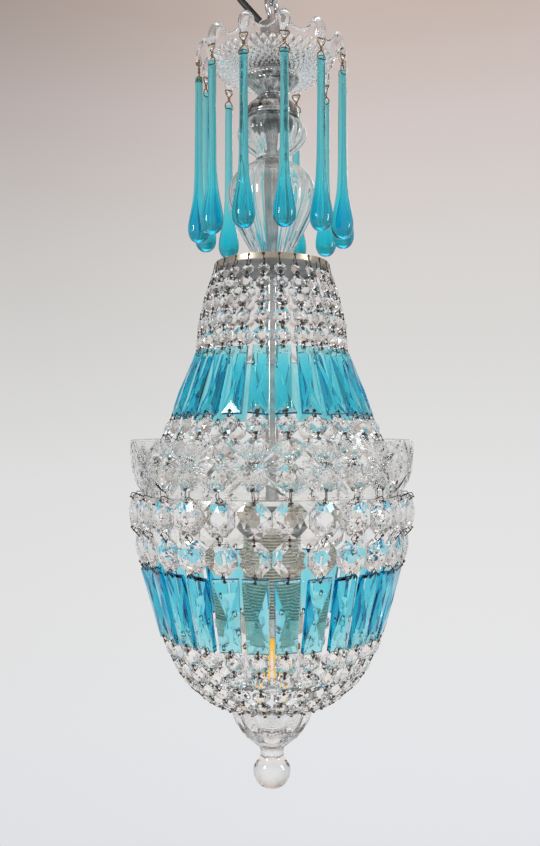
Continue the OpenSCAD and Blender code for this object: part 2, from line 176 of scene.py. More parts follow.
f.link(f.ramp(f.noise(400, 2).outputs["Fac"], [(0.3, (0.95, 0.50, 0.03)), (0.7, (1.0, 0.66, 0.12))]), f.bsdf.inputs["Base Color"])
f.set(Roughness=0.5, Emission_Color=(1.0, 0.55, 0.06, 1), Emission_Strength=0.55)
MATS["filament"] = f.m

SLOT = {s["node"]: s["material_slot"] for s in frame["record"]["subparts"]}
for name, ob in nodes.items():
    key = {"crystal_blue": "crystal_blue_basket", "bulb_clear": "bulb_glass"}.get(SLOT[name], SLOT[name])
    ob.data.materials.clear()
    key = {"main_hoop": "hoop_silver", "crown_rim": "rim_brass", "bottom_ring": "hoop_brass"}.get(name, key)
    ob.data.materials.append(MATS[key])


# ---------------------------------------------------------------- mesh helpers
class Build:
    """Gathers points and faces in millimetres for one piece."""

    def __init__(self):
        self.v, self.f, self.n = [], [], 0

    def add(self, verts, faces):
        verts = np.asarray(verts, float).reshape(-1, 3)
        self.v.append(verts)
        self.f += [tuple(int(i) + self.n for i in f) for f in faces]
        self.n += len(verts)

    def make(self, name, mat, smooth=False):
        me = bpy.data.meshes.new(name)
        me.from_pydata((np.concatenate(self.v) * MM).tolist(), [], self.f)
        me.materials.append(MATS[mat])
        if smooth:
            me.shade_smooth()
        me.update()
        ob = bpy.data.objects.new(name, me)
        scene.collection.objects.link(ob)
        return ob


def grid_faces(rows, cols, wrap=True):
    out = []
    for i in range(rows - 1):
        for j in range(cols if wrap else cols - 1):
            k = (j + 1) % cols
            out.append((i * cols + j, i * cols + k, (i + 1) * cols + k, (i + 1) * cols + j))
    return out


def tube(points, radius, sides=8, closed=False, caps=True):
    """Verts and faces of a tube along points (mm); radius is a number or a list."""
    p = np.asarray(points, float)
    n = len(p)
    r = np.full(n, radius) if np.isscalar(radius) else np.asarray(radius, float)
    if closed:
        d = np.roll(p, -1, 0) - np.roll(p, 1, 0)
    else:
        d = np.gradient(p, axis=0)
    d /= np.linalg.norm(d, axis=1)[:, None]
    ref = np.array([0.0, 0, 1.0]) if abs(d[0][2]) < 0.9 else np.array([1.0, 0, 0])
    a = np.cross(d[0], ref)
    a /= np.linalg.norm(a)
    vs = []
    for i in range(n):
        a = a - d[i] * a.dot(d[i])
        a /= np.linalg.norm(a)
        b = np.cross(d[i], a)
        for k in range(sides):
            t = 2 * math.pi * k / sides
            vs.append(p[i] + r[i] * (math.cos(t) * a + math.sin(t) * b))
    faces = grid_faces(n, sides)
    if closed:
        base = (n - 1) * sides
        faces += [(base + k, base + (k + 1) % sides, (k + 1) % sides, k) for k in range(sides)]
    elif caps:
        faces += [tuple(range(sides))[::-1], tuple(range((n - 1) * sides, n * sides))]
    return np.array(vs), faces


def lathe(profile, segs=96, rfun=None):
    """Closed solid of revolution from an outline of (r, z) in mm that starts and ends on the axis or closes on itself."""
    prof = list(profile)
    closed = prof[0][0] > 1e-6
    vs, rings = [], []
    for i, (r, z) in enumerate(prof):
        if r < 1e-6:
            rings.append([len(vs)])
            vs.append((0, 0, z))
        else:
            ring = []
            for k in range(segs):
                t = 2 * math.pi * k / segs
                rr = rfun(i, r, z, t) if rfun else r
                ring.append(len(vs))
                vs.append((rr * math.cos(t), rr * math.sin(t), z))
            rings.append(ring)
    faces = []
    pairs = [(i, i + 1) for i in range(len(rings) - 1)] + ([(len(rings) - 1, 0)] if closed else [])
    for i, j in pairs:
        A, B = rings[i], rings[j]
        if len(A) == 1 and len(B) == 1:
            continue
        for k in range(segs):
            l = (k + 1) % segs
            if len(A) == 1:
                faces.append((A[0], B[l], B[k]))
            elif len(B) == 1:
                faces.append((A[k], A[l], B[0]))
            else:
                faces.append((A[k], A[l], B[l], B[k]))
    return np.array(vs, float), faces


def spline(points, per=6):
    """Catmull-Rom through points of any dimension."""
    p = np.asarray(points, float)
    q = np.vstack([2 * p[0] - p[1], p, 2 * p[-1] - p[-2]])
    out = []
    for i in range(1, len(q) - 2):
        for k in range(per):
            t = k / per
            out.append(0.5 * ((2 * q[i]) + (q[i + 1] - q[i - 1]) * t
                              + (2 * q[i - 1] - 5 * q[i] + 4 * q[i + 1] - q[i + 2]) * t * t
                              + (3 * q[i] - q[i - 1] - 3 * q[i + 1] + q[i + 2]) * t ** 3))
    out.append(p[-1])
    return np.array(out)


def fix_normals(ob):
    import bmesh
    bm = bmesh.new()
    bm.from_mesh(ob.data)
    bmesh.ops.recalc_face_normals(bm, faces=bm.faces)
    bm.to_mesh(ob.data)
    bm.free()


def place(ob, body, *replaced, slot=None):
    fix_normals(ob)
    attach(ob, body)
    if replaced:
        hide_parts(*replaced)
    return ob


def islands(name):
    """The separate solids of a CAD node: centre, down-strand, across and outward directions and full sizes, in mm."""
    ob = nodes[name]
    co = np.empty(len(ob.data.vertices) * 3)
    ob.data.vertices.foreach_get("co", co)
    w = np.array(ob.matrix_world)
    co = (co.reshape(-1, 3) @ w[:3, :3].T + w[:3, 3]) * 1000
    uniq, inv = np.unique(np.round(co, 2), axis=0, return_inverse=True)
    inv = inv.reshape(-1)
    parent = list(range(len(uniq)))

    def find(a):
        while parent[a] != a:
            parent[a] = parent[parent[a]]
            a = parent[a]
        return a

    for poly in ob.data.polygons:
        i = [find(inv[v]) for v in poly.vertices]
        for a in i[1:]:
            parent[find(a)] = find(i[0])
    groups = {}
    for i in range(len(uniq)):
        groups.setdefault(find(i), []).append(i)
    out = []
    for g in groups.values():
        p = uniq[g]
        c = (p.min(0) + p.max(0)) / 2
        c = p.mean(0)
        az = math.atan2(c[1], c[0])
        er, et, ez = np.array([math.cos(az), math.sin(az), 0]), np.array([-math.sin(az), math.cos(az), 0]), np.array([0, 0, 1.0])
        q = np.stack([(p - c) @ er, (p - c) @ ez], 1)
        _, vec = np.linalg.eigh(q.T @ q)
        u2 = vec[:, 1]
        if u2[1] > 0 or (abs(u2[1]) < 1e-3 and u2[0] > 0):
            u2 = -u2
        u = u2[0] * er + u2[1] * ez
        n = -u2[1] * er + u2[0] * ez
        pu, pt, pn = (p - c) @ u, (p - c) @ et, (p - c) @ n
        top, bot = pt[pu < -0.3 * pu.max()], pt[pu > 0.3 * pu.max()]
        out.append(dict(c=c, u=u, t=et, n=n, U=np.ptp(pu), T=np.ptp(pt), N=np.ptp(pn), az=az,
                        w0=np.ptp(top), w1=np.ptp(bot)))
    out.sort(key=lambda d: (round(-d["c"][2]), round(d["az"], 3)))
    return out


def turned(d, yaw=0.0, roll=0.0, pitch=0.0):
    """The island's own axes, turned a little about the strand (yaw), the outward axis (roll) and the across axis (pitch)."""
    u, t, n = d["u"], d["t"], d["n"]
    c, s = math.cos(yaw), math.sin(yaw)
    t, n = c * t + s * n, -s * t + c * n
    c, s = math.cos(roll), math.sin(roll)
    t, u = c * t + s * u, -s * t + c * u
    c, s = math.cos(pitch), math.sin(pitch)
    u, n = c * u + s * n, -s * u + c * n
    return u, t, n


# ---------------------------------------------------------------- cut crystals
def octagon_bead(size, thick, big):
    """Cut octagon: a table on each face, two tiers of facets and a thin girdle, across t, u and n."""
    R = size / 2 / math.cos(math.pi / 8)
    gird = 0.55 if size < 16 else 0.9
    tiers = [(R, gird, 0.5), (0.70 * R, 0.5 * gird + 0.36 * thick * 0.72, 0.0), (0.40 * R, thick / 2, 0.5)] if big else \
            [(R, gird, 0.5), (0.46 * R, thick / 2, 0.0)]
    vs, faces = [], []
    def ring(r, z, half):
        k0 = len(vs)
        for k in range(8):
            a = (k + half) * math.pi / 4
            vs.append((r * math.cos(a), r * math.sin(a), z))
        return k0, half
    front = [ring(r, z, h) for r, z, h in tiers]
    back = [ring(r, -z, h) for r, z, h in tiers]
    def belt(a, b, flip):
        (ia, ha), (ib, hb) = a, b
        for k in range(8):
            if ha == hb:
                f = (ia + k, ia + (k + 1) % 8, ib + (k + 1) % 8, ib + k)
                faces.append(f[::-1] if flip else f)
            elif ha > hb:
                f1 = (ia + k, ib + (k + 1) % 8, ib + k)
                f2 = (ia + k, ia + (k + 1) % 8, ib + (k + 1) % 8)
                for f in (f1, f2):
                    faces.append(f[::-1] if flip else f)
            else:
                f1 = (ia + k, ia + (k + 1) % 8, ib + k)
                f2 = (ia + (k + 1) % 8, ib + (k + 1) % 8, ib + k)
                for f in (f1, f2):
                    faces.append(f[::-1] if flip else f)
    for i in range(len(tiers) - 1):
        belt(front[i], front[i + 1], False)
        belt(back[i], back[i + 1], True)
    belt(back[0], front[0], False)
    faces.append(tuple(front[-1][0] + k for k in range(8)))
    faces.append(tuple(back[-1][0] + k for k in range(8))[::-1])
    return np.array(vs), faces


def octagons(name, node, big, twist):
    b = Build()
    for d in islands(node):
        u, t, n = turned(d, rng.uniform(-twist, twist), rng.uniform(-0.05, 0.05), rng.uniform(-0.06, 0.06))
        vs, faces = octagon_bead(d["U"] * 0.985, d["N"] * 1.0, big)
        vs[:, 0] *= d["T"] / d["U"] * (1.03 if big else 1.0)
        b.add(d["c"] + vs[:, :1] * t + vs[:, 1:2] * u + vs[:, 2:] * n, faces)
        ENDS.append((d["c"] - d["u"] * d["U"] / 2, 1.75 if not big else 2.1))
        ENDS.append((d["c"] + d["u"] * d["U"] / 2, 1.75 if not big else 2.1))
    return place(b.make(name, "crystal_clear"), "pendant", node)


def baguette(l, w0, w1, thick, edge, centre, cap):
    """Flat cut bar, wide faces n, with facets that meet at a point on each face. cap is the length of a flat band at the top."""
    h = l / 2
    out = []
    ys = [-h, -h + cap, h] if cap else [-h, h]
    def width(y):
        return (w0 + (w1 - w0) * (y + h) / l) / 2
    vs, faces = [], []
    idx = {}
    for s in (1, -1):
        for y in ys:
            z = edge / 2 * (1.0 if y != -h else 0.92 if cap > 3 else 0.3)
            for sx in (-1, 1):
                idx[(s, y, sx)] = len(vs)
                vs.append((sx * width(y), y, s * z))
        idx[(s, "c")] = len(vs)
        yc = -h + cap + (l - cap) * centre
        vs.append((0, yc, s * thick / 2))
        idx[(s, "b")] = len(vs)
        vs.append((0, h - 0.16 * l, s * (thick / 2 - 0.35)))
    for s in (1, -1):
        top = ys[1] if cap else ys[0]
        a, b_, c_, d_ = idx[(s, top, -1)], idx[(s, top, 1)], idx[(s, h, 1)], idx[(s, h, -1)]
        m, q = idx[(s, "c")], idx[(s, "b")]
        tri = [(b_, a, m), (c_, b_, m), (a, d_, m)]
        if cap:
            tri += [(d_, c_, q), (m, q, c_), (m, d_, q)] if cap > 3 else [(d_, c_, m)]
            e, g = idx[(s, ys[0], -1)], idx[(s, ys[0], 1)]
            tri.append((g, e, a, b_))
        else:
            tri += [(d_, c_, m)]
        for f in tri:
            faces.append(f if s > 0 else f[::-1])
    for sx in (-1, 1):
        for i in range(len(ys) - 1):
            f = (idx[(1, ys[i], sx)], idx[(1, ys[i + 1], sx)], idx[(-1, ys[i + 1], sx)], idx[(-1, ys[i], sx)])
            faces.append(f)
    for y in (ys[0], ys[-1]):
        faces.append((idx[(1, y, -1)], idx[(1, y, 1)], idx[(-1, y, 1)], idx[(-1, y, -1)]))
    used = sorted({i for f in faces for i in f})
    remap = {o: k for k, o in enumerate(used)}
    return np.array([vs[i] for i in used]), [tuple(remap[i] for i in f) for f in faces]


def bars(name, node, mat, edge, centre, cap, twist, clear=()):
    b, plain = Build(), Build()
    for i, d in enumerate(islands(node)):
        u, t, n = turned(d, rng.uniform(-twist, twist), rng.uniform(-0.035, 0.035), rng.uniform(-0.02, 0.02))
        vs, faces = baguette(d["U"], d["w0"], d["w1"], d["N"], edge, centre, cap)
        (plain if i in clear else b).add(d["c"] + vs[:, :1] * t + vs[:, 1:2] * u + vs[:, 2:] * n, faces)
        for s in (-1, 1):
            ENDS.append((d["c"] + s * d["u"] * d["U"] / 2, edge / 2 + 0.55))
    place(b.make(name, mat), "pendant", node)
    if clear:
        place(plain.make(name + "_clear", "crystal_clear"), "pendant", slot="crystal_clear")


ENDS = []
octagons("beads_tent_upper", "tent_octagons_upper", False, 0.35)
octagons("beads_tent_lower", "tent_octagons_lower", False, 0.30)
bars("bars_tent", "tent_prisms", "crystal_blue_tent", 2.8, 0.56, 5.5, 0.34)
octagons("beads_skirt_15", "skirt_octagons_15", True, 0.25)
octagons("beads_skirt_17", "skirt_octagons_17", True, 0.25)
octagons("beads_skirt_18", "skirt_octagons_18", True, 0.2)
octagons("beads_basket_upper", "basket_octagons_upper", True, 0.18)
octagons("beads_basket_lower", "basket_octagons_lower", True, 0.24)
bars("bars_basket", "basket_prisms", "crystal_blue_basket", 3.4, 0.5, 1.7, 0.3)
octagons("beads_cup_upper", "cup_octagons_upper", False, 0.22)
octagons("beads_cup_middle", "cup_octagons_middle", False, 0.22)
octagons("beads_cup_lower", "cup_octagons_lower", False, 0.2)

# wire pins: a flattened loop through the two beads, with a bent head on the outside
end_p = np.array([e[0] for e in ENDS])
end_b = np.array([e[1] for e in ENDS])
for node in ("tent_pins", "basket_pins"):
    b = Build()
    for d in islands(node):
        e1, e2 = d["c"] - d["u"] * (d["U"] / 2 - 1.4), d["c"] + d["u"] * (d["U"] / 2 - 1.4)
        half = max(end_b[np.argmin(np.linalg.norm(end_p - e, axis=1))] for e in (e1, e2))
        a = d["U"] / 2 + 0.5
        tw = rng.uniform(-0.35, 0.35)
        u, t, n = turned(d, tw, rng.uniform(-0.12, 0.12))
        pts = []
        for k in range(12):
            th = 2 * math.pi * k / 12
            cx, sy = math.cos(th), math.sin(th)
            pts.append(d["c"] + a * math.copysign(abs(cx) ** 0.6, cx) * u + half * math.copysign(abs(sy) ** 0.6, sy) * n)
        b.add(*tube(pts, 0.31, 5, closed=True))
        for s in (-1, 1):
            h = d["c"] + s * (a - 0.75) * u + half * 0.94 * n
            q = rng.uniform(0.85, 1.1)
            b.add(*tube([h - 0.5 * n, h - 0.34 * n, h + 0.1 * n, h + 0.32 * n, h + 0.42 * n], [0.6 * q, 1.15 * q, 1.3 * q, 0.95 * q, 0.35 * q], 7))
    place(b.make(node + "_wire", "aged_brass", True), "pendant", node)

# ---------------------------------------------------------------- icicles and hooks
PIVOT_Z, HANG_R = -142.5, 54.75
drop = [(0, 0.5), (0.2, 1.9), (0.7, 2.6), (1.8, 2.95), (5, 3.0), (9, 2.98), (30, 3.05), (50, 3.2), (70, 3.45), (80, 3.85),
        (87.5, 4.35), (93, 5.15), (98, 6.05), (103, 7.1), (107.5, 7.95), (111.5, 8.4), (115, 8.3), (118, 7.5),
        (120.5, 6.0), (122, 4.2), (122.8, 2.2)]
prof = spline([(d, r) for d, r in drop], 5)
for i in range(12):
    name = "icicle_%02d" % (i + 1)
    a = math.radians(-81 + 30 * i)
    top = PIVOT_Z + 3
    k1, k2, k3 = rng.uniform(0, 6.28), rng.uniform(0, 6.28), rng.uniform(0.6, 1.0)
    outline = [(0, top)] + [(max(r, 0.05), top - d) for d, r in prof] + [(0, top - 123)]

    def wob(i_, r, z, t, k1=k1, k2=k2, k3=k3):
        s = (top - z) / 123
        return r * (1 + 0.03 * k3 * math.cos(2 * t + k1) * math.sin(3.1 * s + 0.3) + 0.012 * math.cos(3 * t + 9 * s + k2)) - 0.03 * r
    vs, faces = lathe(outline, 40, wob)
    vs[:, 0] += HANG_R
    c, s = math.cos(a), math.sin(a)
    vs = np.stack([vs[:, 0] * c - vs[:, 1] * s, vs[:, 0] * s + vs[:, 1] * c, vs[:, 2]], 1)
    b = Build()
    b.add(vs, faces)
    place(b.make("drop_" + name, "icicle_glass", True), name, name)

b = Build()
for i in range(12):
    a = math.radians(-81 + 30 * i)
    er, et = np.array([math.cos(a), math.sin(a), 0]), np.array([-math.sin(a), math.cos(a), 0])
    o = er * HANG_R
    z0, z1 = -128.0, PIVOT_Z
    ez = np.array([0, 0, 1.0])
    j = rng.uniform(-0.35, 0.35)
    # one wire: through the icicle, up both sides, twisted over its top and closed through the glass knob
    path = [(0.0, z1, 0.0), (2.6, z1, 0), (3.5, z1 + 0.3, 0), (3.62, z1 + 1.6, 0), (3.3, z1 + 3.2, 0), (1.9, z1 + 4.9, 0.4), (0.2 + j, z1 + 6.1, 0.55),
            (-0.75, z1 + 7.3, 0.1), (-0.2, z1 + 8.5, -0.5), (1.0, z1 + 9.6, 0), (2.6, z0 - 2.6, 0.3), (3.35, z0 - 1.1, 0.2), (3.1, z0 - 0.2, 0), (2.0, z0, 0), (0, z0, 0)]
    half = [np.array([x, z, e]) for x, z, e in path]
    back = [np.array([-x, z, -e]) for x, z, e in path][::-1][1:-1]
    pts = spline([o + p[0] * et + p[1] * ez + p[2] * er for p in half + back], 4)
    b.add(*tube(pts[:-1], 0.46, 7, closed=True))
place(b.make("wire_hooks", "bright_brass", True), "pendant", "icicle_hooks")


# ---------------------------------------------------------------- pressed-glass crown
def remeshed(ob, voxel, smooth, after=None):
    m = ob.modifiers.new("r", "REMESH")
    m.mode, m.voxel_size = "VOXEL", voxel
    m2 = ob.modifiers.new("s", "SMOOTH")
    m2.factor, m2.iterations = 0.5, smooth
    dg = bpy.context.evaluated_depsgraph_get()
    dg.update()
    me = bpy.data.meshes.new_from_object(ob.evaluated_get(dg))
    mats = list(ob.data.materials)
    ob.modifiers.clear()
    ob.data = me
    me.materials.clear()
    for x in mats:
        me.materials.append(x)
    if after:
        co = np.empty(len(me.vertices) * 3)
        no = np.empty(len(me.vertices) * 3)
        me.vertices.foreach_get("co", co)
        me.vertices.foreach_get("normal", no)
        co, no = co.reshape(-1, 3) * 1000, no.reshape(-1, 3)
        co = after(co, no) * MM
        me.vertices.foreach_set("co", co.reshape(-1))
        me.update()
    me.shade_smooth()
    return ob


def crown():
    b = Build()
    n_t = 360
    # shallow bowl with a steep wall, whose rim rises smoothly to every lobe
    outer = [(5.5, -137), (20, -136.9), (30, -135.3), (38, -132.7), (42.5, -129.6), (45.6, -125.6), (47.4, -121.8), (48.2, -119.2)]
    inner = [(46.0, -118.9), (44.7, -121.6), (42.7, -125.2), (40.3, -127.9), (36.7, -130.2), (29.5, -132.2), (20, -133.3), (5.5, -133.3)]
    prof = outer + inner

    def lobe(t):
        x = (math.degrees(t) + 81) / 30
        return abs(x - round(x)) * 30          # degrees from the nearest lobe's centre

    vs = []
    for r, z in prof:
        lift = max(0.0, (z + 127) / 8)
        for k in range(n_t):
            t = 2 * math.pi * k / n_t
            q = max(0.0, 1 - lobe(t) / 13.5)
            q = q ** 1.5 * (1.6 - 0.6 * q)
            rr = r + 0.9 * lift * q
            vs.append((rr * math.cos(t), rr * math.sin(t), z + lift * (5.6 * q - 1.2)))
    faces = grid_faces(len(prof), n_t)
    base = (len(prof) - 1) * n_t
    faces += [(base + k, base + (k + 1) % n_t, (k + 1) % n_t, k) for k in range(n_t)]
    b.add(vs, faces)
    # each lobe: a domed tongue that rises from the rim, rolls over and tapers into a pierced knob
    path = spline([(45.0, -122.5, 12.6, 2.6, 0.02), (46.2, -118.5, 12.4, 2.6, 0.05), (47.4, -114.8, 12.0, 2.7, 0.09), (49.6, -111.9, 11.6, 2.8, 0.125),
                   (52.4, -111.9, 11.2, 2.9, 0.13), (54.6, -114.6, 10.4, 3.1, 0.11), (55.6, -118.6, 9.2, 3.4, 0.085), (55.7, -122.8, 7.8, 3.9, 0.06),
                   (55.2, -126.4, 6.6, 4.8, 0.02), (54.8, -129.2, 6.0, 5.2, 0.0), (54.75, -131.0, 4.4, 4.0, 0.0), (54.75, -131.8, 1.6, 1.6, 0.0)], 4)
    for i in range(12):
        a = math.radians(-81 + 30 * i)
        er, et, ez = np.array([math.cos(a), math.sin(a), 0]), np.array([-math.sin(a), math.cos(a), 0]), np.array([0, 0, 1.0])
        rows = []
        d2 = np.gradient(path[:, :2], axis=0)
        d2 /= np.linalg.norm(d2, axis=1)[:, None]
        for (r, z, w, th, curl), (dr, dz) in zip(path, d2):
            nn = -dz * er + dr * ez
            c = r * er + z * ez
            for k in range(28):
                t = 2 * math.pi * k / 28
                x = w / 2 * math.copysign(abs(math.cos(t)) ** 0.8, math.cos(t))
                y = th / 2 * math.copysign(abs(math.sin(t)) ** 0.85, math.sin(t))
                # thick rounded edges round a thinner middle
                e = abs(2 * x / w)
                y *= 0.62 + 0.75 * e ** 2.5 if z > -124 else 1.0
                rows.append(c + x * et + (y - curl * x * x) * nn)
        m = len(path)
        faces = grid_faces(m, 28) + [tuple(range(28))[::-1], tuple(range((m - 1) * 28, m * 28))]
        b.add(rows, faces)
    ob = b.make("crown_of_lobes", "crown_glass", True)
    fix_normals(ob)

    def hobnails(co, no):
        r = np.hypot(co[:, 0], co[:, 1])
        t = np.arctan2(co[:, 1], co[:, 0])
        under = (no[:, 2] < 0.1) & (r > 20.5) & (r < 46.2) & (co[:, 2] < -124.0)
        s = (r - 21) / 24
        k = 42
        w = 0.25 * np.sin(3 * t + 9 * s)
        p = np.abs(np.sin(k / 2 * t + s * 13 + w)) * np.abs(np.sin(k / 2 * t - s * 13 + w))
        fade = np.clip((r - 20.5) / 2, 0, 1) * np.clip((-124.0 - co[:, 2]) / 2.5, 0, 1)
        return co + no * (under * (p - 0.30) * 1.9 * fade)[:, None]
    remeshed(ob, 0.00075, 4, hobnails)
    return ob


place(crown(), "pendant", "bobeche")

# ---------------------------------------------------------------- ribbed ball and vase
outer = spline([(11, -157.5), (14.3, -159.2), (16.7, -162.2), (17.9, -165.4), (18.7, -168.7), (21.9, -171), (24.6, -174.2), (26, -178.4), (24.8, -184),
                (20.5, -189), (15.2, -193), (12.2, -196.5), (13.4, -200), (18, -203), (23.2, -206.3), (28.6, -211.2), (32.5, -218), (33.7, -225),
                (33, -232.5), (30, -240.5), (26, -248.5), (21.8, -256.5), (17.6, -264), (15, -270), (14.4, -277.8)], 5)


def ribs(i, r, z, t):
    s = min(1.0, max(0.0, (r - 12.5) / 6.0))
    return r - 1.15 * s * (0.5 - 0.5 * abs(math.cos(7 * t)) ** 0.7) * 2


inn = [(max(6.3, r - 3.0), min(-160.8, z)) for r, z in outer[1:-1]][::-1]
outline = [tuple(p) for p in outer] + [(6.3, -277.8), (6.3, -275.2)] + inn + [(6.3, -160.8), (6.3, -157.6)]
clean = [outline[0]]
for p in outline[1:]:
    if abs(p[0] - clean[-1][0]) + abs(p[1] - clean[-1][1]) > 0.05:
        clean.append(p)
n_out = len(outer)


def ribs2(i, r, z, t):
    return ribs(i, r, z, t) if i < n_out else r + 0.55 * min(1.0, max(0.0, (r - 8) / 8)) * math.cos(14 * t)


b = Build()
b.add(*lathe(clean, 168, ribs2))
place(b.make("ribbed_ball_and_vase", "baluster_glass", True), "pendant", "glass_ball", "glass_vase")


# ---------------------------------------------------------------- chrome cup and cap, ribbed lampholder
def cup_relief(i, r, z, t):
    if r < 11 or i > 26:
        return r
    beads = 0.55 * abs(math.sin(22 * t)) if z > -141.2 else 0.0
    leaf = 0.75 * (1 - abs(math.sin(11 * t)) ** 0.8) * min(1.0, max(0.0, (-141.4 - z) / 1.5)) * min(1.0, max(0.0, (z + 150) / 3))
    return r - beads - leaf


cup = [(10.1, -152.9), (10.15, -152.2), (10.05, -151.7), (9.3, -150.9), (9.3, -150.3), (10.4, -149.2), (12.0, -147.3), (13.4, -145.8), (14.8, -144.3), (16.0, -143.0),
       (16.6, -142.4), (17.2, -142.2), (17.6, -141.9), (17.5, -141.4), (18.2, -140.9), (18.9, -140.4), (19.3, -139.8), (19.6, -139.3), (20.0, -138.8), (20.15, -138.2),
       (20.1, -137.6), (19.8, -137.25), (5.35, -137.25), (5.35, -152.9)]
b = Build()
b.add(*lathe(cup, 264, cup_relief))
place(b.make("chrome_cup", "chrome_with_painted_reflections", True), "pendant", "support_cup")


def cap_relief(i, r, z, t):
    s = min(1.0, max(0.0, (-155.2 - z) / 2)) * min(1.0, max(0.0, (z + 165.0) / 2))
    return r - (0.6 * s * abs(math.cos(6 * t)) ** 5 if i < 14 else 0.0)


cap = [(5.35, -153.25), (8.9, -153.3), (9.6, -153.5), (10.2, -153.7), (13.4, -154.6), (15.4, -155.9), (16.9, -157.1), (18.2, -158.8), (19.2, -160.5), (19.9, -162.6),
       (20.2, -164.6), (20.1, -165.6), (19.9, -166.0), (20.25, -166.5), (20.25, -168.3), (19.5, -168.3), (19.35, -164.8), (18.35, -161.2), (16.25, -158.4), (13, -156.4), (9, -155.1), (5.35, -155.0)]
b = Build()
b.add(*lathe(cap, 192, cap_relief))
place(b.make("chrome_ball_cap", "chrome_with_painted_reflections", True), "pendant", "ball_cap")

HOLDER_R = float(np.abs(np.array([v.co[:] for v in nodes["lampholder_shell"].data.vertices])[:, :2]).max()) / MM
shell = [(0.6, -478.0)]
z = -478.1
while z > -551.0:
    shell += [(HOLDER_R - 0.8, z), (HOLDER_R - 0.15, z - 0.2), (HOLDER_R - 0.02, z - 0.6), (HOLDER_R - 0.15, z - 1.0), (HOLDER_R - 0.8, z - 1.15), (HOLDER_R - 3.2, z - 1.25), (HOLDER_R - 3.2, z - 2.15)]
    z -= 2.25
shell += [(HOLDER_R - 1.4, -551.95), (14.65, -551.95), (14.65, -500.0), (0.6, -500.0)]
b = Build()
b.add(*lathe(shell, 72))
place(b.make("ribbed_lampholder", "lampholder_grey", True), "pendant", "lampholder_shell")


# ---------------------------------------------------------------- cut-glass collar
def collar():
    R = 105.0
    oz = spline([(R, -408.3), (R - 0.05, -410), (R - 0.4, -419), (R - 1.5, -430.5), (R - 4.6, -440), (R - 8.4, -446.6), (R - 9, -448.8)], 10)
    iz = spline([(R - 12.3, -448.8), (R - 11.8, -445.6), (R - 8.4, -439.4), (R - 5.3, -430), (R - 4.1, -419), (R - 3.7, -408.3)], 3)
    n_t = 960
    dz = np.diff(oz, axis=0)
    arc = np.concatenate([[0], np.cumsum(np.hypot(dz[:, 0], dz[:, 1]))])
    total = arc[-1]
    rows = []
    m = 56
    for s in np.linspace(0, total, m):
        rows.append((np.interp(s, arc, oz[:, 0]), np.interp(s, arc, oz[:, 1]), s))
    motifs = 14
    pitch = 2 * math.pi / motifs
    segs = []
    cy = 19.5

    def seg(x0, y0, x1, y1, w, d):
        segs.append((x0, y0, x1, y1, w, d))
    seg(-20, cy - 18, 20, cy + 18, 1.7, 1.5)
    seg(20, cy - 18, -20, cy + 18, 1.7, 1.5)
    for k in range(-3, 4):
        a = math.radians(90 + k * 11)
        for sgn in (-1, 1):
            L = 15.5 - abs(k) * 0.9
            seg(3.0 * math.cos(a), cy - sgn * 3.0 * math.sin(a), L * math.cos(a), cy - sgn * L * math.sin(a), 0.85, 0.95)
    for k in (-1, 0, 1):
        for sgn in (-1, 1):
            seg(sgn * 4, cy + 0.8 * k, sgn * 15.5, cy + 4.6 * k, 0.8, 0.85)
    # small olives between the stars
    for yy in (cy - 9, cy, cy + 9):
        seg(23.5, yy - 2.8, 23.5, yy + 2.8, 1.8, 1.3)
    vs = []
    ts = np.arange(n_t) * 2 * math.pi / n_t
    x = ((ts / pitch + 0.25) % 1 - 0.5) * pitch * 103
    for i, (r, z, s) in enumerate(rows):
        depth = np.zeros(n_t)
        for x0, y0, x1, y1, w, d in segs:
            for off in (-pitch * 103, 0, pitch * 103):
                px, py = x + off - x0, s - y0
                vx, vy = x1 - x0, y1 - y0
                L2 = vx * vx + vy * vy
                q = np.clip((px * vx + py * vy) / L2, 0, 1)
                dist = np.hypot(px - q * vx, py - q * vy)
                taper = 1 - 0.5 * np.abs(2 * q - 1) ** 3
                depth = np.maximum(depth, d * taper * np.clip(1 - dist / (w * taper), 0, 1))
        rr = r - depth
        zz = z + (0 if i else 0.0)
        if i < 2:
            zz = z - (0.55 if i == 0 else 0.15) * (0.5 + 0.5 * np.cos(ts * 132))
        vs.append(np.stack([rr * np.cos(ts), rr * np.sin(ts), np.full(n_t, 0.0) + zz], 1))
    for i, (r, z) in enumerate(iz):
        zz = z - (0.5 * (0.5 + 0.5 * np.cos(ts * 132)) if i == len(iz) - 1 else 0)
        vs.append(np.stack([r * np.cos(ts), r * np.sin(ts), np.full(n_t, 0.0) + zz], 1))
    k = len(vs)
    faces = grid_faces(k, n_t)
    base = (k - 1) * n_t
    faces += [(base + j, base + (j + 1) % n_t, (j + 1) % n_t, j) for j in range(n_t)]
    b = Build()
    b.add(np.concatenate(vs), faces)
    ob = b.make("cut_collar", "collar_glass", True)
    ob.data.set_sharp_from_angle(angle=math.radians(28))
    return ob


place(collar(), "pendant", "cut_glass_collar")

# ---------------------------------------------------------------- finial
outer = spline([(31.9, -600.9), (30.6, -601.6), (30.4, -608), (29.2, -614.5), (26, -621.5), (20.6, -628), (14, -633.5), (10.2, -637), (8.9, -640.5), (8.7, -643.2),
                (9.6, -645.6), (12.0, -648.8), (13.6, -652.6), (13.85, -656.6), (13.0, -660.6), (10.4, -664.6), (6.4, -667.2), (2.4, -668.0)], 5)
inner = spline([(2.0, -627.6), (5, -627.9), (9, -627.4), (17, -623.3), (23, -618.0), (26.1, -611.8), (27.3, -606), (27.8, -600.4), (29.0, -599.9), (31.4, -600.0)], 4)


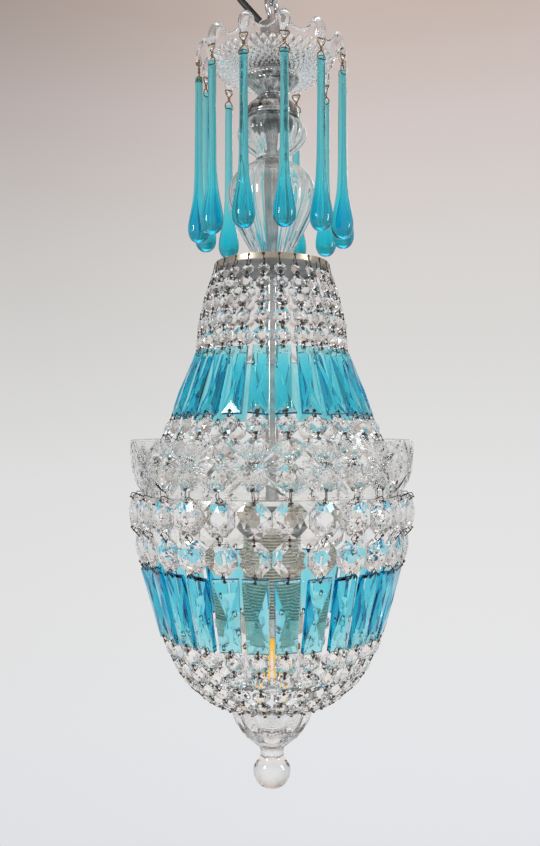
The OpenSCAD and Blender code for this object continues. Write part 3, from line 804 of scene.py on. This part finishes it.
def flutes(i, r, z, t):
    if i >= len(outer) + 1:
        return r
    s = min(1.0, max(0.0, (-606 - z) / 8)) * min(1.0, max(0.0, (z + 642) / 6))
    s2 = min(1.0, max(0.0, (-648 - z) / 4)) * min(1.0, max(0.0, (z + 666) / 5))
    return r * (1 - 0.045 * s * abs(math.sin(6 * t)) ** 1.5 - 0.035 * s2 * abs(math.sin(4 * t)))


b = Build()
outline = [tuple(p) for p in outer] + [(0, -668.1)]
vs, faces = lathe([(0, -627.6)] + [tuple(p) for p in inner] + outline, 144, lambda i, r, z, t: flutes(i - len(inner) - 1 if i > len(inner) else 10 ** 6, r, z, t))
b.add(vs, faces)
place(b.make("glass_finial", "finial_glass", True), "pendant", "finial_dish", "finial_ball")

# ---------------------------------------------------------------- flex
FLEX_R, LEAN, START, RUN, BEND, END_Z = 2.5, math.radians(42), np.array([-8, 0, -95.2]), 21.0, 25.0, -28.0
d0 = np.array([-math.sin(LEAN), 0, math.cos(LEAN)])
corner = START + RUN * d0
centre = corner + BEND * np.array([math.cos(LEAN), 0, math.sin(LEAN)])
route = [START + RUN * p * d0 for p in (0, 0.33, 0.66)]
for k in range(11):
    a = LEAN * (1 - k / 5) if k <= 5 else None
    if a is None or a < LEAN / 10:
        break
    route.append(centre + BEND * np.array([-math.cos(a), 0, -math.sin(a)]))
flex_x = centre[0] - BEND
route += [np.array([flex_x, 0, centre[2] + (END_Z - centre[2]) * k / 3]) for k in range(4)]
cu = bpy.data.curves.new("flex_sheath", "CURVE")
cu.dimensions = "3D"
fine = spline(route, 4)
sp = cu.splines.new("POLY")
sp.points.add(len(fine) - 1)
for p, q in zip(sp.points, fine):
    p.co = (*(q * MM), 1)
cu.bevel_depth, cu.bevel_resolution, cu.use_fill_caps = FLEX_R * MM, 4, True
cu.materials.append(MATS["flex_black"])
flex = bpy.data.objects.new("flex_sheath", cu)
scene.collection.objects.link(flex)
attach(flex, "pendant")
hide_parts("flex")

# ---------------------------------------------------------------- softer edges on plain CAD metalwork
for name in ("ceiling_rose", "hanging_loop", "chain_link", "ceiling_hook", "lampholder_cap",
             "bulb_glass", "bulb_cap", "shade_ring", "stem_tube", "main_hoop", "crown_rim", "bottom_ring", "bulb_filaments"):
    ob = nodes[name]
    ob.data.shade_smooth()
    ob.data.set_sharp_from_angle(angle=math.radians(32))

# ---------------------------------------------------------------- studio
scene.view_settings.view_transform = "Standard"
scene.view_settings.look = "None"
cy = scene.cycles
cy.max_bounces, cy.transmission_bounces, cy.glossy_bounces, cy.diffuse_bounces, cy.transparent_max_bounces = 28, 28, 8, 3, 16
cy.caustics_refractive = cy.caustics_reflective = True
cy.blur_glossy = 0.3
cy.sample_clamp_indirect = 8

world = bpy.data.worlds.new("studio")
world.use_nodes = True
scene.world = world
t = world.node_tree
bg = t.nodes["Background"]
tc = t.nodes.new("ShaderNodeTexCoord")
sx = t.nodes.new("ShaderNodeSeparateXYZ")
t.links.new(tc.outputs["Generated"], sx.inputs[0])
half = t.nodes.new("ShaderNodeMapRange")
half.inputs["From Min"].default_value, half.inputs["From Max"].default_value = -1, 1
t.links.new(sx.outputs["Z"], half.inputs["Value"])
ramp = t.nodes.new("ShaderNodeValToRGB")
stops = [(0.0, (0.36, 0.35, 0.34)), (0.18, (0.52, 0.515, 0.52)), (0.296, (0.767, 0.775, 0.807)), (0.351, (0.783, 0.79, 0.807)), (0.416, (0.783, 0.783, 0.783)),
         (0.485, (0.761, 0.761, 0.761)), (0.556, (0.708, 0.701, 0.687)), (0.623, (0.680, 0.651, 0.631)), (0.683, (0.645, 0.571, 0.552)), (0.732, (0.565, 0.468, 0.423)),
         (0.80, (0.60, 0.53, 0.50)), (0.88, (0.46, 0.42, 0.40)), (0.93, (1.2, 1.19, 1.2)), (1.0, (2.8, 2.8, 2.85))]
e = ramp.color_ramp.elements
while len(e) < len(stops):
    e.new(0.5)
for el, (p, c) in zip(e, stops):
    el.position, el.color = p, (*c, 1)
t.links.new(half.outputs["Result"], ramp.inputs["Fac"])
sq = t.nodes.new("ShaderNodeMath")
sq.operation = "MULTIPLY"
t.links.new(sx.outputs["X"], sq.inputs[0])
t.links.new(sx.outputs["X"], sq.inputs[1])
dim = t.nodes.new("ShaderNodeMapRange")
dim.inputs["From Min"].default_value, dim.inputs["From Max"].default_value = 0.12, 0.9
dim.inputs["To Min"].default_value, dim.inputs["To Max"].default_value = 1.0, 0.72
t.links.new(sq.outputs[0], dim.inputs["Value"])
# darker behind the camera, and towards the upper left of the backdrop
front = t.nodes.new("ShaderNodeMapRange")
front.inputs["From Min"].default_value, front.inputs["From Max"].default_value = -0.1, -0.8
front.inputs["To Min"].default_value, front.inputs["To Max"].default_value = 1.0, 1.06
t.links.new(sx.outputs["Y"], front.inputs["Value"])
up = t.nodes.new("ShaderNodeMapRange")
up.inputs["From Min"].default_value, up.inputs["From Max"].default_value = -0.10, 0.45
t.links.new(sx.outputs["Z"], up.inputs["Value"])
left = t.nodes.new("ShaderNodeMapRange")
left.inputs["From Min"].default_value, left.inputs["From Max"].default_value = 0.05, -0.28
t.links.new(sx.outputs["X"], left.inputs["Value"])


def maths(op, a, b):
    n = t.nodes.new("ShaderNodeMath")
    n.operation = op
    for i, v in enumerate((a, b)):
        if isinstance(v, (int, float)):
            n.inputs[i].default_value = v
        else:
            t.links.new(v, n.inputs[i])
    return n.outputs[0]


shade = maths("SUBTRACT", 1.0, maths("MULTIPLY", maths("ADD", 0.03, maths("MULTIPLY", maths("POWER", up.outputs[0], 1.8), 0.30)), left.outputs[0]))
shade = maths("MULTIPLY", shade, maths("MULTIPLY", dim.outputs["Result"], front.outputs[0]))
mul = t.nodes.new("ShaderNodeMixRGB")
mul.blend_type = "MULTIPLY"
mul.inputs["Fac"].default_value = 1
t.links.new(ramp.outputs["Color"], mul.inputs["Color1"])
t.links.new(shade, mul.inputs["Color2"])
t.links.new(mul.outputs["Color"], bg.inputs["Color"])
bg.inputs["Strength"].default_value = 1.0


def area(name, loc, target, size, power, color=(1, 1, 1)):
    l = bpy.data.lights.new(name, "AREA")
    l.shape, l.size, l.size_y, l.energy, l.color = "RECTANGLE", size[0], size[1], power, color
    o = bpy.data.objects.new(name, l)
    o.location = loc
    o.rotation_euler = (Vector(target) - Vector(loc)).to_track_quat("-Z", "Y").to_euler()
    scene.collection.objects.link(o)
    o.visible_transmission = False


area("window_left", (-1.1, -0.9, -0.05), (0, 0, -0.4), (0.30, 0.50), 7.5, (1.0, 0.98, 0.95))
area("window_right", (1.25, -0.5, -0.2), (0, 0, -0.4), (0.25, 0.6), 4.6, (0.95, 0.97, 1.0))
area("rim_back", (0.5, 1.2, 0.35), (0, 0, -0.35), (0.5, 0.3), 1.2)

me = bpy.data.meshes.new("floor")
k = 64
ring = [(0.95 * math.cos(2 * math.pi * i / k), 0.95 * math.sin(2 * math.pi * i / k), -1.16) for i in range(k)]
me.from_pydata(ring, [], [tuple(range(k))])
fm = Mat("floor_paint")
fm.link(fm.ramp(fm.noise(3, 2).outputs["Fac"], [(0.3, (0.74, 0.73, 0.72)), (0.7, (0.78, 0.775, 0.77))]), fm.bsdf.inputs["Base Color"])
fm.set(Roughness=0.7)
me.materials.append(fm.m)
floor = bpy.data.objects.new("floor", me)
scene.collection.objects.link(floor)
